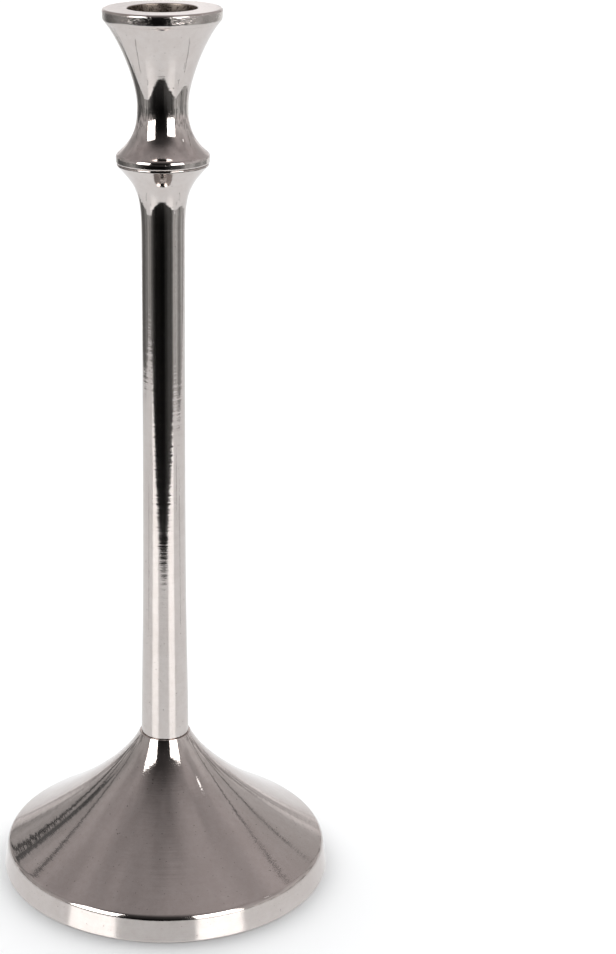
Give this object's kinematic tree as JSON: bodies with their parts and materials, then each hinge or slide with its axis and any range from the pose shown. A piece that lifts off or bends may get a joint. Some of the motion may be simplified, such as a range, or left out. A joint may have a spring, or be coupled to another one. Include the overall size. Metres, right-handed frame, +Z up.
{
  "type": "candlestick",
  "caption": "Tall slim candlestick with a flared candle cup, a sharp ridge, a long narrow stem and a wide conical foot, holding one taper candle upright on a table.",
  "frame": {"origin": "on the axis, in the plane that the foot stands on", "axes": "+Z up along the candlestick's axis, towards the candle; +X and +Y are any two directions across it"},
  "size_m": [0.1272, 0.1272, 0.333],
  "materials": {
    "plated_casting": "polished",
    "zinc_plated_steel": "satin",
    "felt": "matte"
  },
  "bodies": {
    "root": {"candle_cup": "plated_casting", "stem": "plated_casting", "foot": "plated_casting", "tie_rod": "zinc_plated_steel", "flat_washer": "zinc_plated_steel", "lock_washer": "zinc_plated_steel", "hex_nut": "zinc_plated_steel", "felt_ring": "felt"}
  },
  "joints": []
}
